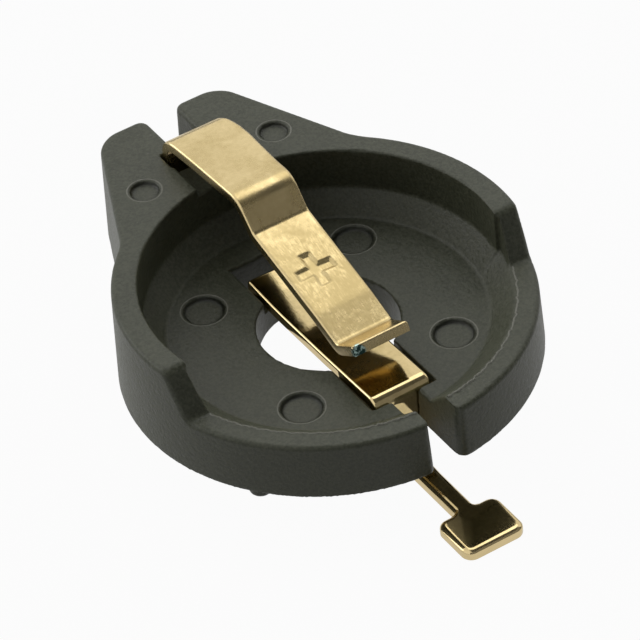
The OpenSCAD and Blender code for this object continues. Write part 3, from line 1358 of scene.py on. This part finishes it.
# ---------------------------------------------------------------- the studio


@dataclass(frozen=True)
class Lamp:
    """A square soft lamp that points at the part."""

    name: str
    place: tuple[float, float, float]
    size: float
    radiance: float
    mirrored: bool = True

    def build(self, aim: Vector) -> None:
        """Adds the lamp.

        Args:
            aim: The point it faces, in millimetres, which its place is measured from.
        """
        data = bpy.data.lights.new(self.name, "AREA")
        data.shape = "SQUARE"
        data.size = self.size * MM
        data.energy = math.pi * self.radiance * data.size * data.size
        made = bpy.data.objects.new(self.name, data)
        bpy.context.scene.collection.objects.link(made)
        made.visible_glossy = self.mirrored
        way = Vector(self.place)
        made.location = (aim + way) * MM
        made.rotation_euler = way.to_track_quat("Z", "Y").to_euler()


@dataclass(frozen=True)
class GreyCard:
    """A matt grey card that the metal mirrors and the eye never meets."""

    name: str
    grey: float

    def build(self, points: list[tuple[float, float, float]], faces: list[tuple[int, ...]]
              ) -> bpy.types.Object:
        """Makes the card.

        Args:
            points: Its points, in millimetres.
            faces: Its faces.

        Returns:
            The card.
        """
        made = make_object(self.name, np.array(points), faces)
        material, _, shader = new_material(self.name)
        shader.inputs["Base Color"].default_value = (self.grey, self.grey, self.grey, 1.0)
        shader.inputs["Roughness"].default_value = 0.95
        shader.inputs["Specular IOR Level"].default_value = 0.1
        made.data.materials.append(material)
        made.visible_camera = False
        return made


@dataclass(frozen=True)
class CurvedCard(GreyCard):
    """A card that stands round the part, with its middle turned from X by some degrees."""

    turn: float
    half: float
    top: float
    foot: float = 8.0
    radius: float = 170.0
    bands: int = 24

    def stand(self) -> None:
        """Stands the card on its arc."""
        points = []
        for i in range(self.bands + 1):
            angle = math.radians(self.turn + self.half * (2 * i / self.bands - 1))
            x, y = self.radius * math.cos(angle), self.radius * math.sin(angle)
            points += [(x, y, self.foot), (x, y, self.top)]
        self.build(points, [(2 * i, 2 * i + 1, 2 * i + 3, 2 * i + 2) for i in range(self.bands)])


@dataclass(frozen=True)
class TopCard(GreyCard):
    """A flat card over the front, which only glossy surfaces show."""

    span_x: tuple[float, float] = (-18.0, 175.0)
    span_y: tuple[float, float] = (-40.0, 220.0)
    height: float = 250.0

    def hang(self) -> None:
        """Hangs the card."""
        (x0, x1), (y0, y1), z = self.span_x, self.span_y, self.height
        made = self.build([(x0, y0, z), (x1, y0, z), (x1, y1, z), (x0, y1, z)], [(0, 1, 2, 3)])
        made.visible_diffuse = False
        made.visible_shadow = False


@dataclass
class Studio:
    """A white floor, a soft surround that is darker in front, grey cards, soft lamps and the camera."""

    floor_half: float = 1500.0
    aim: tuple[float, float, float] = (2.5868, -0.7927, 4.2496)
    back: tuple[float, float, float] = (0.66662, -0.36314, 0.65096)
    turn_deg: float = 61.4205
    roll_deg: float = -6.2023
    distance: float = 150.4206
    lens: float = 248.639
    floor_dark: Colour = (0.25, 0.25, 0.25, 1.0)
    floor_pale: Colour = (0.27, 0.27, 0.27, 1.0)
    floor_white: float = 0.96
    floor_gloss: float = 0.75
    rear_x: float = -0.9
    front_x: float = 0.4
    rear_light: float = 1.65
    front_light: float = 0.04
    lamps: tuple[Lamp, ...] = (
        Lamp("top_lamp", (-120.0, 109.0, 262.0), 140.0, 0.92),
        Lamp("left_lamp", (-210.0, -170.0, 130.0), 160.0, 1.9),
        Lamp("right_lamp", (40.0, 250.0, 130.0), 150.0, 5.0, mirrored=False),
        Lamp("side_lamp", (-230.0, 20.0, 220.0), 260.0, 0.9, mirrored=False))

    def floor(self) -> None:
        """Lays the floor under the part, white to the eye and grey in the light that it returns."""
        low = CAD_BOUNDS[0][2] / MM
        half = self.floor_half
        corners = np.array([(-half, -half, low), (half, -half, low), (half, half, low),
                            (-half, half, low)])
        sheet = make_object("floor", corners, [(0, 1, 2, 3)])
        material, bench, shader = new_material("white_floor")
        tone = bench.add("ShaderNodeTexNoise", {"Vector": bench.place(), "Scale": 60.0})
        pale = bench.blend(tone.outputs["Fac"], self.floor_dark, self.floor_pale)
        bench.tree.links.new(pale, shader.inputs["Base Color"])
        shader.inputs["Roughness"].default_value = 0.9
        shader.inputs["Specular IOR Level"].default_value = 0.1
        white = bench.add("ShaderNodeEmission", {"Color": (1.0, 1.0, 1.0, 1.0), "Strength": 1.0})
        seen, gloss = self._rays(bench)
        share = bench.math("MAXIMUM", bench.math("MULTIPLY", seen, self.floor_white),
                           bench.math("MULTIPLY", gloss, self.floor_gloss))
        mixed = bench.add("ShaderNodeMixShader", {0: share, 1: shader.outputs[0], 2: white.outputs[0]})
        end = bench.tree.nodes["Material Output"]
        bench.tree.links.new(mixed.outputs[0], end.inputs["Surface"])
        sheet.data.materials.append(material)

    def _rays(self, bench: NodeBench) -> tuple[bpy.types.NodeSocket, bpy.types.NodeSocket]:
        """Tells how a surface is met.

        Args:
            bench: The bench of the surface's nodes.

        Returns:
            1 where the eye meets it straight, and 1 where it is met in a gloss or through glass.
        """
        path = bench.add("ShaderNodeLightPath").outputs
        gloss = bench.math("MAXIMUM", path["Is Glossy Ray"], path["Is Transmission Ray"])
        return path["Is Camera Ray"], gloss

    def world(self) -> None:
        """Sets the surround: white where it is seen, and dimmer towards the front in its light."""
        world = bpy.data.worlds.new("surround")
        world.use_nodes = True
        bpy.context.scene.world = world
        bench = NodeBench(world.node_tree)
        way = bench.add("ShaderNodeTexCoord").outputs["Generated"]
        along = bench.add("ShaderNodeSeparateXYZ", {0: way}).outputs[0]
        light = bench.span(along, self.rear_x, self.front_x, self.rear_light, self.front_light)
        strength = bench.add("ShaderNodeMix", {0: bench.math("MAXIMUM", *self._rays(bench)), 2: light,
                                               3: 1.0}, data_type="FLOAT")
        shade = world.node_tree.nodes["Background"]
        shade.inputs["Color"].default_value = (1.0, 1.0, 1.0, 1.0)
        bench.tree.links.new(strength.outputs[0], shade.inputs["Strength"])

    def camera(self) -> None:
        """Places the camera."""
        data = bpy.data.cameras.new("camera")
        data.sensor_width = 36.0
        data.lens = self.lens
        data.clip_start = 0.01
        data.clip_end = 10.0
        back = Vector(self.back).normalized()
        turn, roll = math.radians(self.turn_deg), math.radians(self.roll_deg)
        level = Vector((math.cos(turn), math.sin(turn), 0.0))
        upright = back.cross(level)
        right = math.cos(roll) * level + math.sin(roll) * upright
        up = -math.sin(roll) * level + math.cos(roll) * upright
        made = bpy.data.objects.new("camera", data)
        bpy.context.scene.collection.objects.link(made)
        rotation = Matrix((right, up, back)).transposed().to_4x4()
        place = (Vector(self.aim) + self.distance * back) * MM
        made.matrix_world = Matrix.Translation(place) @ rotation
        bpy.context.scene.camera = made

    def build(self) -> None:
        """Sets up the floor, the light and the camera."""
        self.floor()
        self.world()
        CurvedCard("front_card", 0.24, turn=20.0, half=62.0, top=230.0).stand()
        CurvedCard("rear_card", 0.15, turn=200.0, half=118.0, top=30.0).stand()
        TopCard("top_card", 0.34).hang()
        for lamp in self.lamps:
            lamp.build(Vector(self.aim))
        self.camera()
        bpy.context.scene.view_settings.view_transform = "Standard"


def report(piece: bpy.types.Object) -> None:
    """Logs a piece's name and how many faces it has."""
    log.info("%s: %d faces", piece.name, len(piece.data.polygons))


def main() -> None:
    """Builds the base, the contacts and the studio in order."""
    logging.basicConfig(level=logging.INFO, format="%(name)s: %(message)s")
    groups = SurfaceGroups()
    housing = Housing()
    piece = housing.build()
    housing.dress(piece, groups)
    report(piece)
    contacts = Contacts()
    strip = contacts.positive().build()
    contacts.dress(strip, STRIP_PLATING, "positive_contact", Slot.POSITIVE, groups)
    report(strip)
    blade = contacts.negative().build()
    contacts.dress(blade, BLADE_PLATING, "negative_contact", Slot.NEGATIVE, groups)
    report(blade)
    Studio().build()


if __name__ == "__main__":
    main()
